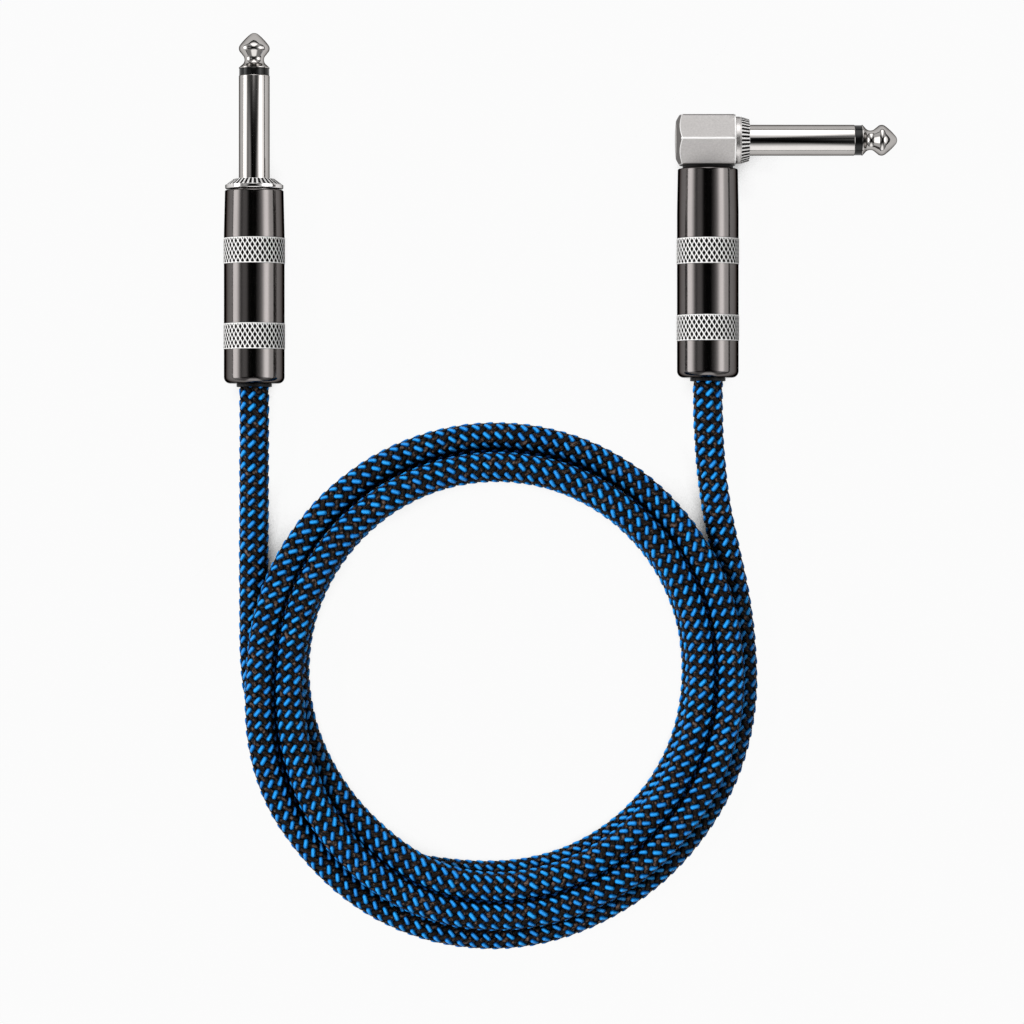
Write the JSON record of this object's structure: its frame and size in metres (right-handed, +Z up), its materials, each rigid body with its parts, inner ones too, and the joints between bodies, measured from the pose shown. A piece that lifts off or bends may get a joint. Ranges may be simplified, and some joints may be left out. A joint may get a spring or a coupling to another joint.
{
  "type": "instrument cable",
  "caption": "Braided instrument cable with a straight and a right-angle 6.35 mm phone plug, lying in a loose coil; both barrels unscrew.",
  "frame": {"origin": "bottom centre of the box around the two plugs, on the surface that the cable lies on", "axes": "+Z up; +Y is the way the straight plug points, +X the way the right-angle plug's shaft points; the coil lies on the -Y side"},
  "size_m": [0.1388, 0.1893, 0.0129],
  "materials": {
    "mirror_nickel": "mirror-polished nickel plate",
    "bright_nickel": "bright nickel, knurled",
    "satin_nickel": "satin nickel, fine matt grain",
    "gunmetal": "glossy black nickel with two bright knurled bands",
    "black_plastic": "smooth black plastic",
    "grommet_rubber": "matt black rubber",
    "liner_plastic": "translucent milky plastic",
    "washer_fibre": "red-brown vulcanised fibre",
    "sheet_brass": "stamped brass, tinned at the solder end",
    "cable_jacket": "matt black PVC",
    "core_insulation": "white polyethylene insulation",
    "bare_copper": "twisted bare copper strands",
    "braided_fabric": "woven braid, azure picks on black"
  },
  "bodies": {
    "root": {"straight_tip": "mirror_nickel", "straight_insulator": "black_plastic", "straight_sleeve": "mirror_nickel", "straight_collar": "bright_nickel", "straight_ground_clamp": "sheet_brass", "straight_washer": "washer_fibre", "straight_tip_lug": "sheet_brass", "straight_inner_jacket": "cable_jacket", "straight_core_wire": "core_insulation", "straight_shield_tail": "bare_copper", "angle_tip": "mirror_nickel", "angle_insulator": "black_plastic", "angle_sleeve": "mirror_nickel", "angle_collar": "bright_nickel", "angle_head": "satin_nickel", "angle_tip_contact": "sheet_brass", "angle_ground_clamp": "sheet_brass", "angle_inner_jacket": "cable_jacket", "angle_core_wire": "core_insulation", "angle_shield_tail": "bare_copper", "cable_coil": "braided_fabric", "straight_lead": "braided_fabric", "angle_lead": "braided_fabric"},
    "straight_boot": {"straight_grommet": "grommet_rubber"},
    "straight_shell": {"straight_barrel": "gunmetal", "straight_liner": "liner_plastic"},
    "angle_boot": {"angle_grommet": "grommet_rubber"},
    "angle_shell": {"angle_barrel": "gunmetal", "angle_liner": "liner_plastic"}
  },
  "joints": [
    {"name": "straight_shell_travel", "type": "slide", "parent": "root", "child": "straight_boot", "axis": [0, -1, 0], "range_m": [0, 0.007]},
    {"name": "straight_shell_turn", "type": "hinge", "parent": "straight_boot", "child": "straight_shell", "pos_m": [-0.06308, 0.00402, 0.00635], "axis": [0, -1, 0], "range_deg": [0, 3362]},
    {"name": "angle_shell_travel", "type": "slide", "parent": "root", "child": "angle_boot", "axis": [0, -1, 0], "range_m": [0, 0.007]},
    {"name": "angle_shell_turn", "type": "hinge", "parent": "angle_boot", "child": "angle_shell", "pos_m": [0.03043, 0.00843, 0.00645], "axis": [0, -1, 0], "range_deg": [0, 3362]}
  ],
  "couplings": [
    {"joint": "straight_shell_turn", "follows": "straight_shell_travel", "rad_per_m": 8377.6},
    {"joint": "angle_shell_turn", "follows": "angle_shell_travel", "rad_per_m": 8377.6}
  ]
}
